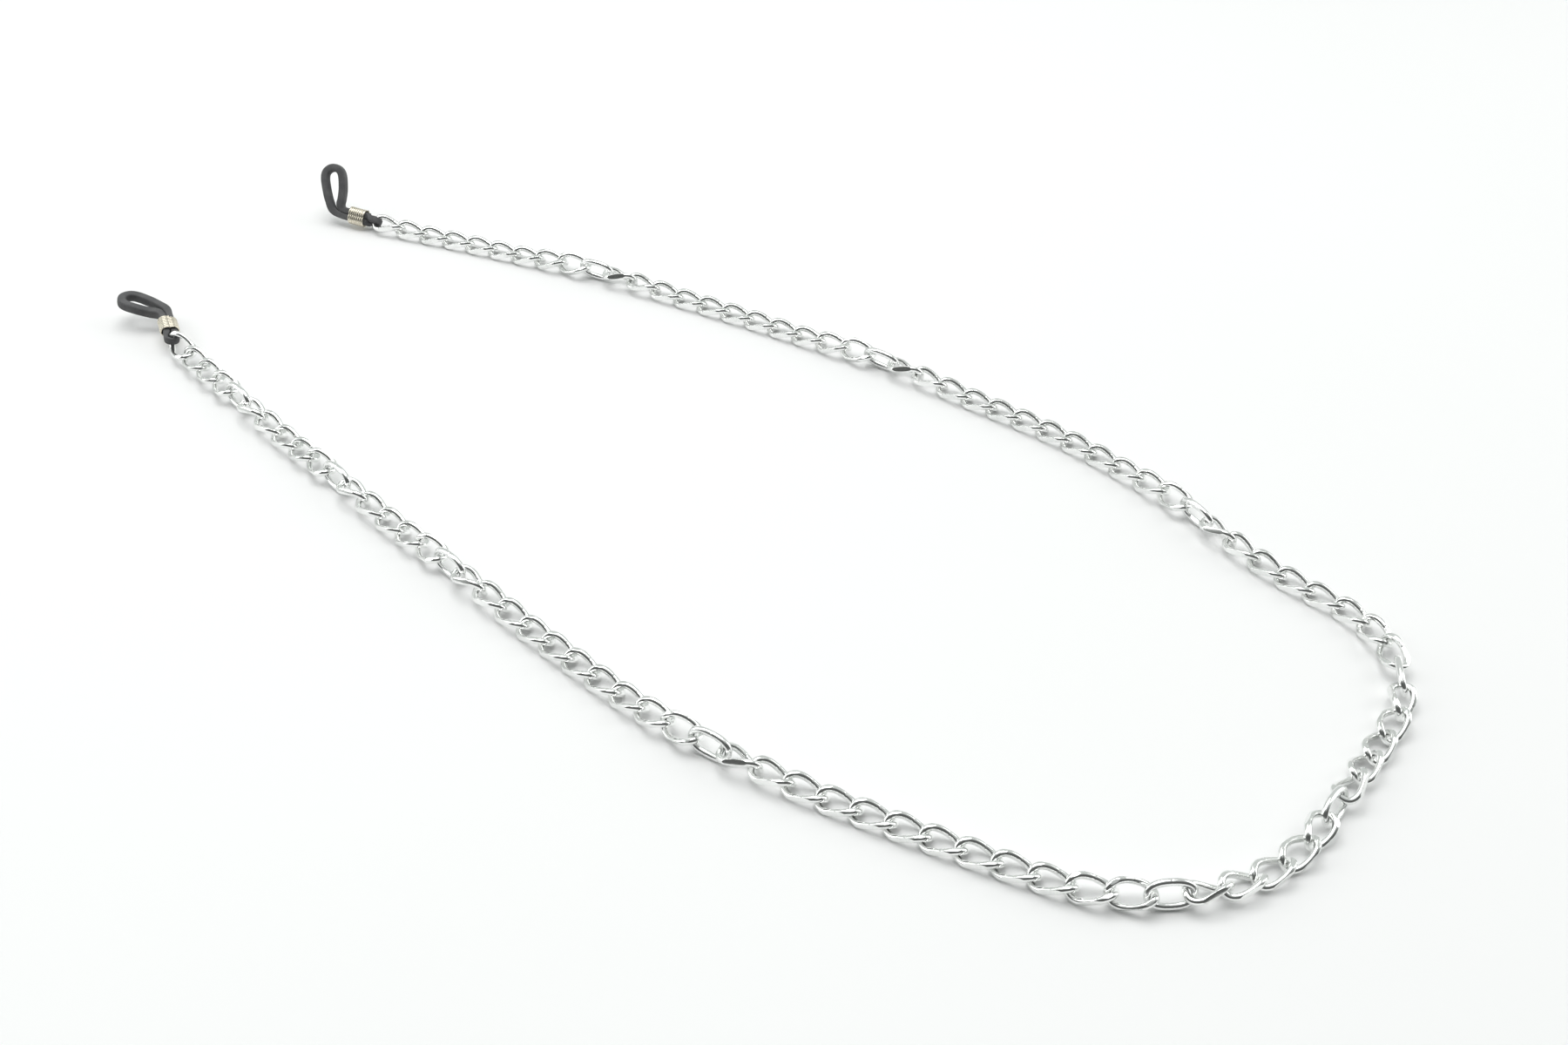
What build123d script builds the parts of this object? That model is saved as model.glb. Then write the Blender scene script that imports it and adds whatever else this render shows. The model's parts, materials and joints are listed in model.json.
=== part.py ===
"""Eyeglass retainer strap: a curb chain with plain connecting links and a rubber temple loop at each end.

The chain lies in a U on a flat surface. X runs across the U, Y from its bend to its open end, Z is up,
and the origin is at the middle of the footprint, on the surface. Millimetres.
"""

from build123d import *
from math import asin, cos, radians, sin, tan
import os

# ---- wire links ----
LINK_PITCH = 7.0  # from one contact point to the next
WIRE = 1.45
LINK_REACH = 4.3  # link centre to the centreline of its end bar
BAR_HALF = 1.3  # half the straight end bar, before the corners are rounded
SHOULDER = 2.8  # where the side bars stop being parallel
CURB_HALF_WIDTH = 2.7
CURB_TWIST = -42  # each end bar turns this far out of the link's middle plane
CURB_FLAT_TOP = 1.62  # half height between the polished faces above and below
CURB_FLAT_SIDE = 2.85  # half width between the polished side faces
PLAIN_HALF_WIDTH = 2.45  # the connecting links are narrower and have no twist
CORNER_SHARE = 0.47  # a corner's arc takes this share of the shorter run beside it

# ---- how the chain is made up, from the right-hand end ----
RUN_LENGTHS = (9, 11, 12, 8, 5, 5, 12, 10, 5, 5, 4)  # curb links in each run
CONNECTOR_LEAN = (-78, -74, -80, -70, -68, -68, -78, -82, -76, -80)  # -90 stands on edge
ROLL_BESIDE_CONNECTOR = -30  # the curb link next to a connecting link
ROLL_NEXT = -10  # and the one after it
RIGHT_END_ROLL = -8
LEFT_END_ROLLS = (-18, -20, -38)  # the last three links before the left rubber loop

# ---- how the chain lies ----
START = (-92.3, 109.82)  # free end of the first link
START_HEADING = -17.3
STRETCHES = (  # (joints, turn at each joint)
    (27, -0.7),
    (7, -2.8),
    (5, 3.0),
    (6, -14.0),
    (5, -0.7),
    (8, -9.4),
    (8, -0.4),
    (5, -3.1),
    (24, -0.2),
)
FLOOR_GAP = 0.045
RIGHT_END_HEIGHTS = (2.65, 2.05)  # the first link is lifted by the rubber loop
FLAT_HEIGHT = CURB_FLAT_TOP + FLOOR_GAP
FIRST_RISE = 2.14  # height of the second joint from a connecting link
SECOND_RISE = 2.78  # and of the joint before it
LEFT_END_HEIGHTS = (2.8, 2.85, 2.95, 3.75)  # the last joints, up to the left rubber loop

# ---- rubber loops ----
STRAND = 2.15  # width of the rubber strand round the temple opening
LOOP_DEPTH = 1.15  # half thickness of the temple loop
NECK_DEPTH = 0.95  # half thickness where the coil grips both strands
NECK_HALF_WIDTH = 1.7
NECK_START = 2.4
EYE_REACH = 1.4  # the tail narrows to this point, where it joins the neck
NECK_END = 11.2
TAIL_RADIUS = 1.85
TAIL_HOLE = 0.95
TAIL_SLOT = 0.5  # the hole is drawn out this far along the chain
RUBBER_EDGE = 0.6
NECK_EDGE = 0.55
TIP_RADIUS = 1.45  # the temple opening's rounded end
# opening from its pinched point to its rounded end: along the neck, across it, radius
RIGHT_OPENING = ((11.8, 0.9, 0.2), (12.8, 3.0, 0.8), (13.7, 5.6, 1.3), (14.9, 8.8, TIP_RADIUS))
LEFT_OPENING = ((11.8, 0.6, 0.2), (13.3, 2.2, 0.8), (15.1, 4.3, 1.3), (17.3, 7.0, TIP_RADIUS))
RIGHT_LOOP_TILT = -36  # of the loop's face; its tail sits square on the end link's bar
LEFT_LOOP_TILT = 80
LEFT_LOOP_SWING = 20  # the left loop is turned this far round its end link's bar

# ---- coil sliders ----
COIL_WIRE = 0.42
COIL_TURNS = 8
COIL_STEP = 0.62
COIL_START = 2.5
LOBE_OFFSET = 0.68  # the coil is pressed into two lobes, one round each strand
LOBE_RADIUS = 1.3  # inside


def half_link_corners(half_width, twist):
    """Half a link's centreline from end bar to end bar, along X: half an octagon, twisted about X."""
    flat = (
        (LINK_REACH, 0),
        (LINK_REACH, BAR_HALF),
        (SHOULDER, half_width),
        (-SHOULDER, half_width),
        (-LINK_REACH, BAR_HALF),
        (-LINK_REACH, 0),
    )
    corners = []
    for along, across in flat:
        turn = radians(twist * along / LINK_REACH)
        corners.append(Vector(along, across * cos(turn), across * sin(turn)))
    return corners


def corner_radii(corners):
    """The arc that takes CORNER_SHARE of the shorter run beside each corner. An end bar is cut at its middle."""
    runs = [(after - before).length for before, after in zip(corners, corners[1:])]
    runs[0] *= 2
    runs[-1] *= 2
    radii = []
    for place in range(1, len(corners) - 1):
        corner = corners[place]
        opening = radians((corners[place - 1] - corner).get_angle(corners[place + 1] - corner))
        radii.append(CORNER_SHARE * min(runs[place - 1], runs[place]) * tan(opening / 2))
    return radii


def wire_link(half_width, twist):
    """A closed wire link about the origin, along X, bent from two like halves."""
    corners = half_link_corners(half_width, twist)
    with BuildPart() as link:
        with BuildLine() as centreline:
            FilletPolyline(*corners, radius=corner_radii(corners))
        with BuildSketch(Plane(origin=centreline.line @ 0, z_dir=centreline.line % 0)):
            Circle(WIRE / 2)
        sweep(path=centreline.line)
        other_half = link.part.rotate(Axis.X, 180)
        add(other_half)
    return link.part


def curb_link():
    """The twisted link with its polished flats above, below and at both sides."""
    round_link = wire_link(CURB_HALF_WIDTH, CURB_TWIST)
    with BuildPart() as link:
        add(round_link)
        Box(4 * LINK_REACH, 2 * CURB_FLAT_SIDE, 2 * CURB_FLAT_TOP, mode=Mode.INTERSECT)
    return link.part


def link_sequence():
    """(run number, link number in the run, roll) along the chain. Connecting links have link number 0."""
    sequence = []
    for run, count in enumerate(RUN_LENGTHS, start=1):
        last_run = run == len(RUN_LENGTHS)
        rolls = [0] * count
        if run > 1:
            rolls[0] = ROLL_BESIDE_CONNECTOR
            rolls[1] = ROLL_NEXT
        if last_run:
            rolls[-len(LEFT_END_ROLLS):] = LEFT_END_ROLLS
        else:
            rolls[-1] = -ROLL_BESIDE_CONNECTOR
            rolls[-2] = -ROLL_NEXT
        if run == 1:
            rolls[0] = RIGHT_END_ROLL
        sequence += [(run, number, roll) for number, roll in enumerate(rolls, start=1)]
        if not last_run:
            sequence.append((run, 0, CONNECTOR_LEAN[run - 1]))
    return sequence


def joint_heights(sequence):
    """Height of each contact point: low along the runs, higher where a connecting link stands on edge."""
    heights = [FLAT_HEIGHT] * (len(sequence) + 1)
    for place, (_, number, lean) in enumerate(sequence):
        if number == 0:
            standing = PLAIN_HALF_WIDTH * sin(radians(abs(lean))) + WIRE / 2 + FLOOR_GAP
            heights[place] = heights[place + 1] = standing
            for side in (place - 1, place + 2):
                heights[side] = max(heights[side], SECOND_RISE)
            for side in (place - 2, place + 3):
                heights[side] = max(heights[side], FIRST_RISE)
    heights[:len(RIGHT_END_HEIGHTS)] = RIGHT_END_HEIGHTS
    heights[-len(LEFT_END_HEIGHTS):] = LEFT_END_HEIGHTS
    return heights


def joint_points(heights):
    """The contact points, one pitch apart, along the stretches that the chain lies in."""
    turns = [0] + [turn for joints, turn in STRETCHES for _ in range(joints)]
    points = [Vector(*START, heights[0])]
    heading = START_HEADING
    for turn, low, high in zip(turns, heights, heights[1:]):
        heading += turn
        level = LINK_PITCH * cos(asin((high - low) / LINK_PITCH))
        step = Vector(level * cos(radians(heading)), level * sin(radians(heading)), high - low)
        points.append(points[-1] + step)
    return points


def link_plane(first, second, roll):
    """The plane a link lies in: centred between its two contact points, rolled about the line joining them."""
    along = (second - first).normalized()
    across = Vector(0, 0, 1).cross(along).normalized()
    up = along.cross(across)
    return Plane(origin=(first + second) / 2, x_dir=along, z_dir=up.rotate(Axis((0, 0, 0), along), roll))


def disc_hulls(stations, growth=0.0):
    """The outline that a disc sweeps as it moves and changes size from station to station."""
    band = Sketch()
    for first, second in zip(stations, stations[1:]):
        with BuildSketch() as step:
            for along, across, radius in (first, second):
                with Locations((along, across)):
                    Circle(radius + growth)
            make_hull()
        band += step.sketch
    return band


def rubber_loop(plane, eye_plane, opening):
    """One moulded ring: a temple loop, a neck of two strands and a tail round the end link's bar."""
    pinch = opening[0]
    neck_end = (NECK_END - NECK_HALF_WIDTH, 0, NECK_HALF_WIDTH)
    parting = (pinch[0], pinch[1], NECK_HALF_WIDTH + RUBBER_EDGE)
    eye_end = (EYE_REACH, 0, NECK_DEPTH)
    outside = disc_hulls(opening, growth=STRAND)
    inside = disc_hulls(opening)
    neck = disc_hulls((eye_end, (NECK_START, 0, NECK_HALF_WIDTH), neck_end, parting))
    eye = disc_hulls(((0, 0, TAIL_RADIUS), eye_end))
    with BuildPart() as loop:
        with BuildSketch(plane):
            add(outside)
            add(inside, mode=Mode.SUBTRACT)
        extrude(amount=LOOP_DEPTH, both=True)
        flat_faces = loop.faces().filter_by(Axis((0, 0, 0), plane.z_dir))
        fillet(flat_faces.edges(), radius=RUBBER_EDGE)
    stems = []
    for stem_plane, outline in ((plane, neck), (eye_plane, eye)):
        with BuildPart() as stem:
            with BuildSketch(stem_plane):
                add(outline)
            extrude(amount=NECK_DEPTH, both=True)
            flat_faces = stem.faces().filter_by(Axis((0, 0, 0), stem_plane.z_dir))
            fillet(flat_faces.edges(), radius=NECK_EDGE)
        stems.append(stem.part)
    with BuildPart() as ring:
        add(loop.part)
        add(stems)
        with BuildSketch(eye_plane):
            SlotCenterToCenter(TAIL_SLOT, 2 * TAIL_HOLE)
        extrude(amount=NECK_HALF_WIDTH, both=True, mode=Mode.SUBTRACT)
    return ring.part


def lobed_outline(radius):
    """Two overlapping discs side by side, one round each rubber strand."""
    with BuildSketch() as outline:
        with Locations((LOBE_OFFSET, 0), (-LOBE_OFFSET, 0)):
            Circle(radius)
    return outline.sketch


def coil_slider(plane):
    """The close-wound coil on the neck: a thin lobed sleeve with one rib for each turn."""
    length = COIL_TURNS * COIL_STEP
    foot = Plane(origin=plane.from_local_coords((COIL_START, 0, 0)), x_dir=plane.y_dir, z_dir=plane.x_dir)
    bore = lobed_outline(LOBE_RADIUS)
    sleeve_outside = lobed_outline(LOBE_RADIUS + COIL_WIRE / 2)
    rib_outside = lobed_outline(LOBE_RADIUS + COIL_WIRE)
    with BuildPart() as coil:
        with BuildSketch(foot):
            add(sleeve_outside)
        extrude(amount=length)
        for turn in range(COIL_TURNS):
            low = turn * COIL_STEP + (COIL_STEP - COIL_WIRE) / 2
            with BuildSketch(foot.offset(low)):
                add(rib_outside)
            extrude(amount=COIL_WIRE)
        with BuildSketch(foot):
            add(bore)
        extrude(amount=length, mode=Mode.SUBTRACT)
    return coil.part


def write(part, name):
    part.label = name
    export_step(part, f"parts/{name}.step")


def node_groups(count):
    """A run's links in pairs, with three in the last group of an odd run."""
    firsts = list(range(1, count, 2))
    lasts = [first + 1 for first in firsts]
    lasts[-1] = count
    return list(zip(firsts, lasts))


os.makedirs("parts", exist_ok=True)

sequence = link_sequence()
points = joint_points(joint_heights(sequence))
planes = {}
for (run, number, roll), first, second in zip(sequence, points, points[1:]):
    planes[run, number] = link_plane(first, second, roll)

curb = curb_link()
plain = wire_link(PLAIN_HALF_WIDTH, 0)

for run, count in enumerate(RUN_LENGTHS, start=1):
    for first, last in node_groups(count):
        places = [planes[run, number].location for number in range(first, last + 1)]
        with BuildPart() as group:
            with Locations(*places):
                add(curb)
        write(group.part, f"run_{run:02d}_links_{first}_to_{last}")
    if run < len(RUN_LENGTHS):
        with BuildPart() as connector:
            with Locations(planes[run, 0].location):
                add(plain)
        write(connector.part, f"connecting_link_{run:02d}")


def bar_plane(link, end, swing):
    """The plane across an end link's free bar, X pointing out of the chain, turned by swing about the bar."""
    bar = radians(end * CURB_TWIST)
    across_bar = link.y_dir * cos(bar) + link.z_dir * sin(bar)
    outward = link.x_dir * end
    centre = link.origin + outward * LINK_REACH
    return Plane(origin=centre, x_dir=outward.rotate(Axis((0, 0, 0), across_bar), swing), z_dir=across_bar)


def loop_plane(bar, tilt):
    """The plane of a temple loop: along the same neck, with its face tilted from the level."""
    level = bar.x_dir.cross(Vector(0, 0, 1)).normalized()
    face = level * cos(radians(tilt)) + level.cross(bar.x_dir) * sin(radians(tilt))
    return Plane(origin=bar.origin, x_dir=bar.x_dir, z_dir=face)


right_bar = bar_plane(planes[1, 1], -1, 0)
left_bar = bar_plane(planes[len(RUN_LENGTHS), RUN_LENGTHS[-1]], 1, LEFT_LOOP_SWING)
right_plane = loop_plane(right_bar, RIGHT_LOOP_TILT)
left_plane = loop_plane(left_bar, LEFT_LOOP_TILT)
ENDS = (("right", right_plane, right_bar, RIGHT_OPENING), ("left", left_plane, left_bar, LEFT_OPENING))
for side, plane, bar, opening in ENDS:
    write(rubber_loop(plane, bar, opening), f"rubber_loop_{side}")
    write(coil_slider(plane), f"coil_slider_{side}")
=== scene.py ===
"""Looks for an eyeglass chain: curb links, plain connecting links, rubber temple loops and wire coils.

Lengths marked _MM are millimetres; everything given to Blender is metres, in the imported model's frame.
"""
import json
import math

import bmesh
import bpy
import numpy as np
from mathutils import Matrix, Vector


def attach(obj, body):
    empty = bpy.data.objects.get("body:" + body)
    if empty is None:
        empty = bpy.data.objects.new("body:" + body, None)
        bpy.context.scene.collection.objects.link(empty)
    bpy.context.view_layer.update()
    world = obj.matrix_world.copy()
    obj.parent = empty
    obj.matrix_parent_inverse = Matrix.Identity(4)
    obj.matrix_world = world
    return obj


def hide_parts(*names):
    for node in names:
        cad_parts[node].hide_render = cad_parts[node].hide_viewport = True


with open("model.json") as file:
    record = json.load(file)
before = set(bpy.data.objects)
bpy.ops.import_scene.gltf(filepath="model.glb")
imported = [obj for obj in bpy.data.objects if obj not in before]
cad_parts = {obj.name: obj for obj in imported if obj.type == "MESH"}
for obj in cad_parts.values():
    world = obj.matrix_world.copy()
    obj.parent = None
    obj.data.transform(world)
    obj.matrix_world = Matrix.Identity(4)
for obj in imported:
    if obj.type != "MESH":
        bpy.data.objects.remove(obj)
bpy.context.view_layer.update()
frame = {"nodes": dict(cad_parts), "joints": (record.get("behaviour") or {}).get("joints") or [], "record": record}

MM = 0.001
nodes = frame["nodes"]
joints = {joint["name"]: joint for joint in frame["joints"]}
mounts = {mount["name"]: mount for mount in frame["record"]["mounts"]}

# ---- links ----
WIRE_MM = 1.45
LINK_REACH_MM = 4.3  # link centre to the centreline of its end bar
CURB_HALF_WIDTH_MM = 2.52
PLAIN_HALF_WIDTH_MM = 2.43
CURB_TWIST = math.radians(-42)
OVAL_FULLNESS = 2.5  # 2 is an ellipse, more is squarer
FLAT_TOP_MM = 1.62  # half height between the burnished faces above and below
FLAT_SIDE_MM = 2.85  # half width between the burnished side faces
FLAT_EDGE_MM = 0.05
RINGS = 104  # along a link's wire
RING_POINTS = 24  # round its section
SEAM_DEPTH_MM = 0.05  # butted wire ends
OVAL_SAMPLES = 1440
LINK_SHARP_ABOVE = 28  # degrees between faces
MIDDLE_WEIGHT = 9  # a triangle's spread is that of its corners and nine times its middle

# ---- rubber loops, in the loop's own plane: along the neck, across it ----
STRAND_MM = 2.15
LOOP_DEPTH_MM = 2.3
NECK_STRAND_MM = 1.72
NECK_DEPTH_MM = 1.9
TAIL_STRAND_MM = 0.92
TAIL_DEPTH_MM = 1.85
TAIL_ROUTE_RADIUS_MM = 1.4
STRAND_RINGS = 220  # along the whole ring
STRAND_FLATNESS = 0.45  # of the section's sides; 1 is an ellipse
MOULD_LINE_MM = 0.03
NECK_FROM_MM = 2.9
NECK_TO_MM = 9.6
TURN_FROM_MM = 0.9  # between these points the tail turns into line with the end link's bar
TURN_TO_MM = 2.7
RIGHT_OPENING_MM = ((11.8, 0.9, 0.2), (12.8, 3.0, 0.8), (13.7, 5.6, 1.3), (14.9, 8.8, 1.45))
LEFT_OPENING_MM = ((11.8, 0.6, 0.2), (13.3, 2.2, 0.8), (15.1, 4.3, 1.3), (17.3, 7.0, 1.45))

# ---- coils ----
COIL_WIRE_MM = 0.56  # along the coil; the wire is rolled flat
COIL_WIRE_DEPTH_MM = 0.40
COIL_PITCH_MM = 0.57
COIL_FROM_MM = 2.55
COIL_TURNS = 8.3
LOBE_OFFSET_MM = 0.68
WAIST_FILL_MM = 0.05  # softens the waist between the lobes
WAIST_WIDTH = 0.22
COIL_STEPS = 56  # in each turn
LOBE_RADIUS_MM = 1.51  # to the middle of the coil's wire


# =====================================================================
# finishes
# =====================================================================

HAIRLINE_SCALE = 420.0
HAIRLINE_SETS = (  # the turn and stretch of each set of marks
    ((0.3, 0.2, 0.6), (1.0, 14.0, 9.0)),
    ((0.9, 0.5, 2.1), (16.0, 1.0, 11.0)),
)
HAIRLINE_DEPTH = 0.00001
PEBBLE_SCALE = 3800.0
PEBBLE_DEPTH = 0.00004


def add_socket(group, name, direction, kind, value=None):
    socket = group.interface.new_socket(name=name, in_out=direction, socket_type=kind)
    if value is not None:
        socket.default_value = value
    return socket


def link_nodes(tree, *pairs):
    for outgoing, incoming in pairs:
        tree.links.new(outgoing, incoming)


def make_math(tree, operation, first, second):
    """A math node whose two values are each a socket or a number."""
    node = tree.nodes.new("ShaderNodeMath")
    node.operation = operation
    for place, value in enumerate((first, second)):
        if isinstance(value, (int, float)):
            node.inputs[place].default_value = value
        else:
            tree.links.new(value, node.inputs[place])
    return node.outputs[0]


def make_noise(tree, vector, scale, detail=3.0, roughness=0.5):
    node = tree.nodes.new("ShaderNodeTexNoise")
    node.inputs["Detail"].default_value = detail
    node.inputs["Roughness"].default_value = roughness
    tree.links.new(vector, node.inputs["Vector"])
    if isinstance(scale, (int, float)):
        node.inputs["Scale"].default_value = scale
    else:
        tree.links.new(scale, node.inputs["Scale"])
    return node.outputs["Fac"]


def make_range(tree, value, low, high, to_low=0.0, to_high=1.0):
    node = tree.nodes.new("ShaderNodeMapRange")
    node.inputs["From Min"].default_value = low
    node.inputs["From Max"].default_value = high
    node.inputs["To Min"].default_value = to_low
    node.inputs["To Max"].default_value = to_high
    tree.links.new(value, node.inputs["Value"])
    return node.outputs["Result"]


def make_blend(tree, factor, first, second):
    """A colour mix; first and second are colours or sockets."""
    node = tree.nodes.new("ShaderNodeMix")
    node.data_type = "RGBA"
    tree.links.new(factor, node.inputs["Factor"])
    for name, value in (("A", first), ("B", second)):
        socket = [s for s in node.inputs if s.name == name and s.type == "RGBA"][0]
        if isinstance(value, tuple):
            socket.default_value = (*value, 1.0)
        else:
            tree.links.new(value, socket)
    return [s for s in node.outputs if s.type == "RGBA"][0]


def hairline_group():
    """Hairline rubbing marks: two crossing sets of drawn-out noise. Puts out a mask and a height."""
    group = bpy.data.node_groups.new("hairline_marks", "ShaderNodeTree")
    add_socket(group, "Density", "INPUT", "NodeSocketFloat", 1.0)
    add_socket(group, "Mask", "OUTPUT", "NodeSocketFloat")
    add_socket(group, "Height", "OUTPUT", "NodeSocketFloat")
    inside = group.nodes.new("NodeGroupInput")
    outside = group.nodes.new("NodeGroupOutput")
    place = group.nodes.new("ShaderNodeTexCoord").outputs["Object"]
    sets = []
    for turn, stretch in HAIRLINE_SETS:
        mapping = group.nodes.new("ShaderNodeMapping")
        mapping.inputs["Rotation"].default_value = turn
        mapping.inputs["Scale"].default_value = stretch
        group.links.new(place, mapping.inputs["Vector"])
        scale = make_math(group, "MULTIPLY", inside.outputs["Density"], HAIRLINE_SCALE)
        drawn = make_noise(group, mapping.outputs["Vector"], scale, detail=2.0)
        sets.append(make_range(group, drawn, 0.60, 0.72))
    both = make_math(group, "MAXIMUM", sets[0], sets[1])
    height = make_math(group, "SUBTRACT", 1.0, both)
    link_nodes(group, (both, outside.inputs["Mask"]), (height, outside.inputs["Height"]))
    return group


def haze_group():
    """Handling haze: soft patches with fine specks in them. Puts out a mask."""
    group = bpy.data.node_groups.new("handling_haze", "ShaderNodeTree")
    add_socket(group, "Patch Scale", "INPUT", "NodeSocketFloat", 160.0)
    add_socket(group, "Speck Scale", "INPUT", "NodeSocketFloat", 2600.0)
    add_socket(group, "Mask", "OUTPUT", "NodeSocketFloat")
    inside = group.nodes.new("NodeGroupInput")
    outside = group.nodes.new("NodeGroupOutput")
    place = group.nodes.new("ShaderNodeTexCoord").outputs["Object"]
    patches = make_range(group, make_noise(group, place, inside.outputs["Patch Scale"]), 0.38, 0.66)
    specks = make_range(group, make_noise(group, place, inside.outputs["Speck Scale"], 2.0), 0.45, 0.7)
    mixed = make_math(group, "MULTIPLY", patches, make_math(group, "ADD", specks, 0.55))
    group.links.new(mixed, outside.inputs["Mask"])
    return group


hairlines = hairline_group()
haze = haze_group()


def new_material(name):
    material = bpy.data.materials.new(name)
    material.use_nodes = True
    tree = material.node_tree
    shader = tree.nodes["Principled BSDF"]
    return material, tree, shader


def use_group(tree, group, **values):
    node = tree.nodes.new("ShaderNodeGroup")
    node.node_tree = group
    for name, value in values.items():
        node.inputs[name.replace("_", " ")].default_value = value
    return node.outputs


def make_bump(tree, shader, height, distance, strength):
    bump = tree.nodes.new("ShaderNodeBump")
    bump.inputs["Distance"].default_value = distance
    bump.inputs["Strength"].default_value = strength
    link_nodes(tree, (height, bump.inputs["Height"]), (bump.outputs["Normal"], shader.inputs["Normal"]))


def polished_metal(name, clean, dulled, smooth, rough, density):
    """Bright metal: clean where it is rubbed, a little dulled in patches, with hairline marks."""
    material, tree, shader = new_material(name)
    shader.inputs["Metallic"].default_value = 1.0
    marks = use_group(tree, hairlines, Density=density)
    patches = use_group(tree, haze)["Mask"]
    link_nodes(tree, (make_blend(tree, patches, clean, dulled), shader.inputs["Base Color"]))
    worn = make_math(tree, "MAXIMUM", patches, make_math(tree, "MULTIPLY", marks["Mask"], 0.6))
    link_nodes(tree, (make_range(tree, worn, 0.0, 1.0, smooth, rough), shader.inputs["Roughness"]))
    make_bump(tree, shader, marks["Height"], HAIRLINE_DEPTH, 0.25)
    return material


def moulded_rubber(name, dark, dusty):
    """Matte rubber: a fine pebbled moulded skin with pale dust caught in it."""
    material, tree, shader = new_material(name)
    place = tree.nodes.new("ShaderNodeTexCoord").outputs["Object"]
    pebbles = make_noise(tree, place, PEBBLE_SCALE, 3.0, 0.6)
    dust = use_group(tree, haze, Patch_Scale=240.0, Speck_Scale=5200.0)["Mask"]
    colour = make_blend(tree, dust, dark, dusty)
    link_nodes(tree, (colour, shader.inputs["Base Color"]))
    link_nodes(tree, (make_range(tree, pebbles, 0.3, 0.7, 0.62, 0.86), shader.inputs["Roughness"]))
    shader.inputs["Specular IOR Level"].default_value = 0.35
    make_bump(tree, shader, pebbles, PEBBLE_DEPTH, 0.5)
    return material


curb_metal = polished_metal(
    "bright_curb_link",
    clean=(0.93, 0.935, 0.925),
    dulled=(0.80, 0.815, 0.80),
    smooth=0.09,
    rough=0.24,
    density=1.0,
)
plain_metal = polished_metal(
    "bright_connecting_link",
    clean=(0.92, 0.925, 0.92),
    dulled=(0.80, 0.81, 0.80),
    smooth=0.12,
    rough=0.27,
    density=1.2,
)
coil_metal = polished_metal(
    "pale_gold_coil_wire",
    clean=(0.80, 0.75, 0.63),
    dulled=(0.58, 0.54, 0.45),
    smooth=0.24,
    rough=0.42,
    density=1.6,
)
black_rubber = moulded_rubber("black_temple_rubber", (0.085, 0.085, 0.088), (0.135, 0.135, 0.137))


# =====================================================================
# shapes
# =====================================================================

def make_piece(name, mesh, material, node):
    """Puts a finished mesh in the scene in place of its CAD node."""
    piece = bpy.data.objects.new(name, mesh)
    bpy.context.scene.collection.objects.link(piece)
    mesh.materials.append(material)
    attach(piece, node)
    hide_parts(node)
    return piece


def shade(mesh, sharp_above):
    mesh.shade_smooth()
    mesh.set_sharp_from_angle(angle=math.radians(sharp_above))


def even_steps(points, count):
    """Points evenly spaced along a closed line."""
    closed = np.vstack([points, points[:1]])
    along = np.concatenate([[0], np.cumsum(np.linalg.norm(np.diff(closed, axis=0), axis=1))])
    wanted = np.linspace(0, along[-1], count, endpoint=False)
    return np.stack([np.interp(wanted, along, closed[:, axis]) for axis in range(3)], axis=1)


def link_route(half_width, twist):
    """A link's centreline along X, in millimetres: a full oval twisted about X."""
    turn = np.linspace(0, 2 * math.pi, OVAL_SAMPLES, endpoint=False)
    power = 2 / OVAL_FULLNESS
    along = LINK_REACH_MM * np.sign(np.cos(turn)) * np.abs(np.cos(turn)) ** power
    across = half_width * np.sign(np.sin(turn)) * np.abs(np.sin(turn)) ** power
    lean = twist * along / LINK_REACH_MM
    line = np.stack([along, across * np.cos(lean), across * np.sin(lean)], axis=1)
    return even_steps(line, RINGS)


def tube_mesh(bm, centres, firsts, seconds, closed):
    """Rings of points joined into a tube; firsts and seconds hold each ring's two half axes."""
    turns = [2 * math.pi * k / RING_POINTS for k in range(RING_POINTS)]
    rings = []
    for centre, first, second in zip(centres, firsts, seconds):
        ring = [bm.verts.new(centre + first * math.cos(t) + second * math.sin(t)) for t in turns]
        rings.append(ring)
    pairs = list(zip(rings, rings[1:] + rings[:1])) if closed else list(zip(rings, rings[1:]))
    for ring, following in pairs:
        for k in range(RING_POINTS):
            n = (k + 1) % RING_POINTS
            bm.faces.new((ring[k], ring[n], following[n], following[k]))
    if not closed:
        bm.faces.new(list(reversed(rings[0])))
        bm.faces.new(rings[-1])


def burnish_flats(bm, limits_mm):
    """Cuts a flat across everything beyond each limit, and softens the flat's edge."""
    rims = []
    for normal, limit in limits_mm:
        for sense in (1, -1):
            outward = Vector(normal) * sense
            everything = bm.verts[:] + bm.edges[:] + bm.faces[:]
            cut = bmesh.ops.bisect_plane(
                bm,
                geom=everything,
                plane_co=outward * limit * MM,
                plane_no=outward,
                clear_outer=True,
                dist=1e-8,
            )
            rim = [item for item in cut["geom_cut"] if isinstance(item, bmesh.types.BMEdge)]
            bmesh.ops.edgeloop_fill(bm, edges=rim)
            rims += rim
    rims = [edge for edge in rims if edge.is_valid]
    bmesh.ops.bevel(bm, geom=rims, offset=FLAT_EDGE_MM * MM, segments=2, profile=0.5, affect="EDGES")


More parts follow.
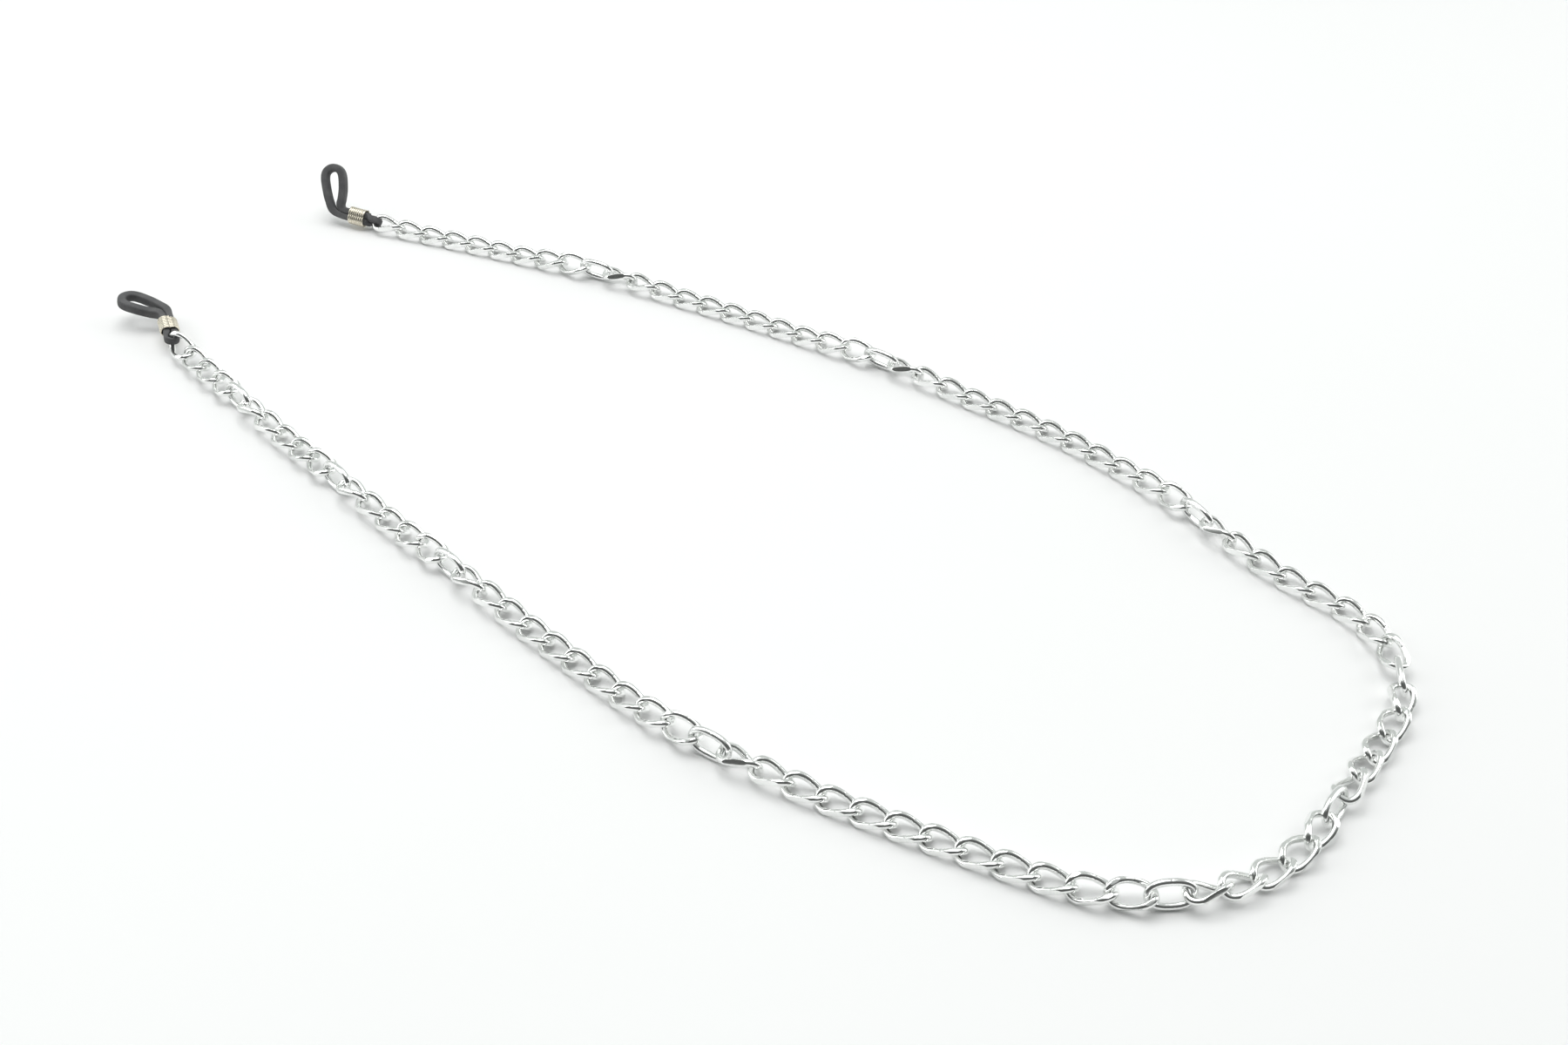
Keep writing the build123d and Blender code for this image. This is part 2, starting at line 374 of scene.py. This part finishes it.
def link_mesh(name, half_width, twist, flats):
    """One closed wire link about the origin, with a butted seam in the middle of one side."""
    route = link_route(half_width, twist)
    tangents = np.roll(route, -1, axis=0) - np.roll(route, 1, axis=0)
    centres, firsts, seconds = [], [], []
    seam = RINGS // 4
    for place, (point, tangent) in enumerate(zip(route, tangents)):
        lean = twist * point[0] / LINK_REACH_MM
        tangent = Vector(tangent).normalized()
        face = Vector((0, -math.sin(lean), math.cos(lean)))
        first = (face - tangent * face.dot(tangent)).normalized()
        second = tangent.cross(first)
        radius = WIRE_MM / 2 - (SEAM_DEPTH_MM if place == seam else 0)
        centres.append(Vector(point) * MM)
        firsts.append(first * radius * MM)
        seconds.append(second * radius * MM)
    bm = bmesh.new()
    tube_mesh(bm, centres, firsts, seconds, closed=True)
    if flats:
        burnish_flats(bm, flats)
    bmesh.ops.recalc_face_normals(bm, faces=bm.faces)
    mesh = bpy.data.meshes.new(name)
    bm.to_mesh(mesh)
    bm.free()
    return mesh


def solids_of(node):
    """The separate solids of a CAD node, as arrays of triangle corners."""
    bm = bmesh.new()
    bm.from_mesh(nodes[node].data)
    bmesh.ops.remove_doubles(bm, verts=bm.verts, dist=1e-7)
    bmesh.ops.triangulate(bm, faces=bm.faces)
    left = set(bm.faces)
    found = []
    while left:
        start = min(left, key=lambda face: face.index)
        island, waiting = {start}, [start]
        while waiting:
            face = waiting.pop()
            for edge in face.edges:
                for other in edge.link_faces:
                    if other not in island:
                        island.add(other)
                        waiting.append(other)
        left -= island
        ordered = sorted(island, key=lambda face: face.index)
        found.append(np.array([[v.co[:] for v in face.verts] for face in ordered]))
    bm.free()
    return found


def link_placement(triangles):
    """Where a link lies: its centre, and its length, width and thickness directions, from its surface."""
    first, second, third = triangles[:, 0], triangles[:, 1], triangles[:, 2]
    areas = np.linalg.norm(np.cross(second - first, third - first), axis=1)
    middles = triangles.mean(axis=1)
    centre = (middles * areas[:, None]).sum(0) / areas.sum()
    spread = np.zeros((3, 3))
    for corner in (first, second, third, middles):
        offset = corner - centre
        weight = areas[:, None] * (MIDDLE_WEIGHT if corner is middles else 1)
        spread += (offset * weight).T @ offset
    _, axes = np.linalg.eigh(spread)
    length, width = axes[:, 2], axes[:, 1]
    thickness = np.cross(length, width)
    turn = Matrix([[length[row], width[row], thickness[row]] for row in range(3)])
    return Matrix.Translation(Vector(centre)) @ turn.to_4x4()


def copies(name, source, placements):
    """One mesh holding a copy of source at each placement."""
    bm = bmesh.new()
    for placement in placements:
        copy = source.copy()
        copy.transform(placement)
        bm.from_mesh(copy)
        bpy.data.meshes.remove(copy)
    mesh = bpy.data.meshes.new(name)
    bm.to_mesh(mesh)
    bm.free()
    return mesh


def smooth_loop(points, count):
    """A closed Catmull-Rom line through points, as count evenly spaced samples with any extra columns."""
    points = np.array(points)
    samples = []
    for k in range(len(points)):
        before, start, end, after = (points[(k + step) % len(points)] for step in (-1, 0, 1, 2))
        for part in np.linspace(0, 1, 16, endpoint=False):
            samples.append(
                0.5 * (
                    2 * start
                    + (end - before) * part
                    + (2 * before - 5 * start + 4 * end - after) * part**2
                    + (3 * start - before - 3 * end + after) * part**3
                )
            )
    samples = np.array(samples)
    closed = np.vstack([samples, samples[:1]])
    along = np.concatenate([[0], np.cumsum(np.linalg.norm(np.diff(closed[:, :2], axis=0), axis=1))])
    wanted = np.linspace(0, along[-1], count, endpoint=False)
    return np.stack([np.interp(wanted, along, closed[:, c]) for c in range(closed.shape[1])], axis=1)


def strand_route(opening):
    """The rubber strand's centreline in the loop's plane, each point with the strand's width and depth.

    It goes out along the neck, round the opening, back along the neck and round the end link's bar.
    """
    axis = [(NECK_FROM_MM, 0.0), (0.5 * (NECK_FROM_MM + NECK_TO_MM), 0.0), (NECK_TO_MM, 0.0)]
    gaps = [NECK_STRAND_MM / 2 - 0.01] * 3
    for along, across, radius in opening:
        axis.append((along, across))
        gaps.append(radius + STRAND_MM / 2)
    axis = np.array(axis)
    sizes = [(NECK_STRAND_MM, NECK_DEPTH_MM)] * 3 + [(STRAND_MM, LOOP_DEPTH_MM)] * len(opening)
    headings = np.gradient(axis, axis=0)
    headings /= np.linalg.norm(headings, axis=1)[:, None]
    normals = np.stack([-headings[:, 1], headings[:, 0]], axis=1)
    out = [(*(a - n * g), *s) for a, n, g, s in zip(axis, normals, gaps, sizes)]
    back = [(*(a + n * g), *s) for a, n, g, s in zip(axis, normals, gaps, sizes)]
    tip, heading, normal = axis[-1], headings[-1], normals[-1]
    around = []
    for turn in np.radians((-45, 0, 45)):
        spoke = heading * math.cos(turn) + normal * math.sin(turn)
        around.append((*(tip + spoke * gaps[-1]), STRAND_MM, LOOP_DEPTH_MM))
    tail = []
    for turn in np.radians((85, 125, 180, 235, 275)):
        spoke = np.array([math.cos(turn), math.sin(turn)]) * TAIL_ROUTE_RADIUS_MM
        tail.append((*spoke, TAIL_STRAND_MM, TAIL_DEPTH_MM))
    return smooth_loop(out + around + back[::-1] + tail, STRAND_RINGS)


def rubber_section(width, depth, points=32):
    """A flat-sided section with well-rounded edges and a faint moulding line on its outer side."""
    outline = []
    for k in range(points):
        turn = 2 * math.pi * k / points
        across = 0.5 * width * math.copysign(abs(math.cos(turn)) ** STRAND_FLATNESS, math.cos(turn))
        up = 0.5 * depth * math.copysign(abs(math.sin(turn)) ** STRAND_FLATNESS, math.sin(turn))
        if k == 0:
            across += MOULD_LINE_MM
        outline.append((across, up))
    return outline


def turned_tail(point, turn):
    """A point of the loop moved with its tail, which is turned about the neck to sit square on the bar."""
    share = min(max((TURN_TO_MM - point.x) / (TURN_TO_MM - TURN_FROM_MM), 0.0), 1.0)
    share = share * share * (3 - 2 * share)
    return Matrix.Rotation(turn * share, 3, "X") @ point


def rubber_loop_mesh(name, opening, plane, tail_turn):
    """The moulded ring, swept round its route in the loop's plane."""
    route = strand_route(opening)
    heading = np.roll(route[:, :2], -1, axis=0) - np.roll(route[:, :2], 1, axis=0)
    heading /= np.linalg.norm(heading, axis=1)[:, None]
    bm = bmesh.new()
    rings = []
    for (along, across, width, depth), (hx, hy) in zip(route, heading):
        outward = Vector((hy, -hx, 0))
        centre = Vector((along, across, 0))
        ring = []
        for out, up in rubber_section(width, depth):
            point = turned_tail(centre + outward * out + Vector((0, 0, up)), tail_turn)
            ring.append(bm.verts.new(plane @ (point * MM)))
        rings.append(ring)
    count = len(rings[0])
    for ring, following in zip(rings, rings[1:] + rings[:1]):
        for k in range(count):
            n = (k + 1) % count
            bm.faces.new((ring[k], ring[n], following[n], following[k]))
    bmesh.ops.recalc_face_normals(bm, faces=bm.faces)
    mesh = bpy.data.meshes.new(name)
    bm.to_mesh(mesh)
    bm.free()
    shade(mesh, 50)
    return mesh


def lobed_route(count):
    """Once round the two strands: two arcs joined by soft waists, evenly spaced."""
    turns = np.linspace(0, 2 * math.pi, 720, endpoint=False)
    line = []
    for turn in turns:
        side = math.copysign(1, math.cos(turn))
        reach = side * LOBE_OFFSET_MM * math.cos(turn)
        across = LOBE_OFFSET_MM * math.sin(turn)
        distance = reach + math.sqrt(LOBE_RADIUS_MM**2 - across**2)
        waist = math.exp(-((math.cos(turn) / WAIST_WIDTH) ** 2))
        distance += WAIST_FILL_MM * waist
        line.append((distance * math.cos(turn), distance * math.sin(turn), 0))
    return even_steps(np.array(line), count)


def coil_mesh(name, plane):
    """One close-wound length of wire round both strands, its cut ends tucked level with the last turns."""
    outline = lobed_route(COIL_STEPS)
    total = int(COIL_TURNS * COIL_STEPS)
    points = []
    for step in range(total + 1):
        across, up, _ = outline[step % COIL_STEPS]
        along = COIL_FROM_MM + COIL_WIRE_MM / 2 + COIL_PITCH_MM * step / COIL_STEPS
        points.append(Vector((along, across, up)))
    centres, firsts, seconds = [], [], []
    for step, point in enumerate(points):
        tangent = (points[min(step + 1, total)] - points[max(step - 1, 0)]).normalized()
        first = Vector((1, 0, 0)) - tangent * tangent.x
        first.normalize()
        second = tangent.cross(first)
        centres.append(plane @ (point * MM))
        turn = plane.to_3x3()
        firsts.append(turn @ first * COIL_WIRE_MM / 2 * MM)
        seconds.append(turn @ second * COIL_WIRE_DEPTH_MM / 2 * MM)
    bm = bmesh.new()
    tube_mesh(bm, centres, firsts, seconds, closed=False)
    bmesh.ops.recalc_face_normals(bm, faces=bm.faces)
    mesh = bpy.data.meshes.new(name)
    bm.to_mesh(mesh)
    bm.free()
    shade(mesh, 40)
    return mesh


def loop_plane(side):
    """A rubber loop's plane, and the turn of its tail about X to lie across the bar.

    The origin is on the bar, X runs along the neck and Y towards the opening.
    """
    hinge = joints[f"swing_rubber_loop_{side}"]
    origin = Vector(hinge["pos_m"])
    along = Vector(joints[f"slide_coil_{side}"]["axis"]).normalized()
    opening = Vector(mounts[f"temple_loop_{side}"]["pos_m"]) - origin
    across = (opening - along * opening.dot(along)).normalized()
    face = along.cross(across)
    bar = Vector(hinge["axis"])
    if bar.dot(face) < 0:
        bar = -bar
    tail_turn = math.atan2(-bar.dot(across), bar.dot(face))
    turn = Matrix((along, across, face)).transposed()
    return Matrix.Translation(origin) @ turn.to_4x4(), tail_turn


curb_source = link_mesh(
    "curb_link_source",
    CURB_HALF_WIDTH_MM,
    CURB_TWIST,
    (((0, 0, 1), FLAT_TOP_MM), ((0, 1, 0), FLAT_SIDE_MM)),
)
plain_source = link_mesh("connecting_link_source", PLAIN_HALF_WIDTH_MM, 0.0, ())

for node in sorted(nodes):
    if node.startswith("run_"):
        mesh = copies(f"{node}_wire", curb_source, [link_placement(solid) for solid in solids_of(node)])
        shade(mesh, LINK_SHARP_ABOVE)
        make_piece(f"{node}_wire", mesh, curb_metal, node)
    elif node.startswith("connecting_link"):
        mesh = copies(f"{node}_wire", plain_source, [link_placement(solid) for solid in solids_of(node)])
        shade(mesh, LINK_SHARP_ABOVE)
        make_piece(f"{node}_wire", mesh, plain_metal, node)

for side, opening in (("right", RIGHT_OPENING_MM), ("left", LEFT_OPENING_MM)):
    plane, tail_turn = loop_plane(side)
    ring = rubber_loop_mesh(f"temple_loop_{side}", opening, plane, tail_turn)
    make_piece(f"temple_loop_{side}", ring, black_rubber, f"rubber_loop_{side}")
    coil = coil_mesh(f"wound_coil_{side}", plane)
    make_piece(f"wound_coil_{side}", coil, coil_metal, f"coil_slider_{side}")

bpy.data.meshes.remove(curb_source)
bpy.data.meshes.remove(plain_source)


# =====================================================================
# floor, light and camera
# =====================================================================

def pale_floor():
    material, tree, shader = new_material("pale_table")
    place = tree.nodes.new("ShaderNodeTexCoord").outputs["Object"]
    soft = make_range(tree, make_noise(tree, place, 3.0, 2.0), 0.3, 0.7)
    colour = make_blend(tree, soft, (0.90, 0.90, 0.90), (0.92, 0.92, 0.92))
    link_nodes(tree, (colour, shader.inputs["Base Color"]))
    shader.inputs["Roughness"].default_value = 0.7
    shader.inputs["Specular IOR Level"].default_value = 0.2
    bm = bmesh.new()
    bmesh.ops.create_grid(bm, x_segments=8, y_segments=8, size=4.0)
    mesh = bpy.data.meshes.new("table_top")
    bm.to_mesh(mesh)
    bm.free()
    mesh.materials.append(material)
    table = bpy.data.objects.new("table_top", mesh)
    bpy.context.scene.collection.objects.link(table)


def soft_box(name, place, aim, size, power):
    lamp = bpy.data.lights.new(name, "AREA")
    lamp.shape = "RECTANGLE"
    lamp.size, lamp.size_y = size
    lamp.energy = power
    holder = bpy.data.objects.new(name, lamp)
    holder.location = place
    holder.rotation_euler = (Vector(aim) - Vector(place)).to_track_quat("-Z", "Y").to_euler()
    bpy.context.scene.collection.objects.link(holder)


def studio_room():
    """A pale room: light behind the table, dim above and behind the camera, white above the table."""
    world = bpy.data.worlds.new("studio_room")
    world.use_nodes = True
    tree = world.node_tree
    back = tree.nodes["Background"]
    direction = tree.nodes.new("ShaderNodeTexCoord").outputs["Generated"]
    split = tree.nodes.new("ShaderNodeSeparateXYZ")
    tree.links.new(direction, split.inputs["Vector"])
    far = make_range(tree, split.outputs["Y"], -0.42, 0.12)
    walls = make_blend(tree, far, (0.100, 0.104, 0.101), (0.62, 0.65, 0.63))
    overhead = make_range(tree, split.outputs["Z"], 0.80, 0.93)
    tree.links.new(make_blend(tree, overhead, walls, (0.50, 0.52, 0.51)), back.inputs["Color"])
    back.inputs["Strength"].default_value = 1.0
    bpy.context.scene.world = world


CAMERA_PLACE = (0.01761, -0.32538, 0.25595)
CAMERA_TILT = 39.35  # below the horizon
CAMERA_ROLL = 1.58
CAMERA_TURN = -0.51  # about the vertical
CAMERA_LENS = 41.47  # on a 36 mm wide sensor


def make_camera():
    data = bpy.data.cameras.new("camera")
    data.sensor_width = 36
    data.lens = CAMERA_LENS
    data.clip_start = 0.01
    camera = bpy.data.objects.new("camera", data)
    tilt = Matrix.Rotation(math.radians(90 - CAMERA_TILT), 4, "X")
    roll = Matrix.Rotation(math.radians(CAMERA_ROLL), 4, "Z")
    turn = Matrix.Rotation(math.radians(CAMERA_TURN), 4, "Z")
    camera.matrix_world = Matrix.Translation(CAMERA_PLACE) @ turn @ tilt @ roll
    bpy.context.scene.collection.objects.link(camera)
    bpy.context.scene.camera = camera


pale_floor()
studio_room()
soft_box("high_soft_box", (-0.10, 0.20, 1.00), (0, 0, 0), (0.9, 0.8), 6.5)
soft_box("left_soft_box", (-1.0, 0.1, 0.55), (0, 0, 0), (0.6, 0.9), 3.0)
soft_box("right_soft_box", (1.0, 0.2, 0.50), (0, 0, 0), (0.5, 0.9), 2.8)
make_camera()
bpy.context.scene.view_settings.view_transform = "Standard"
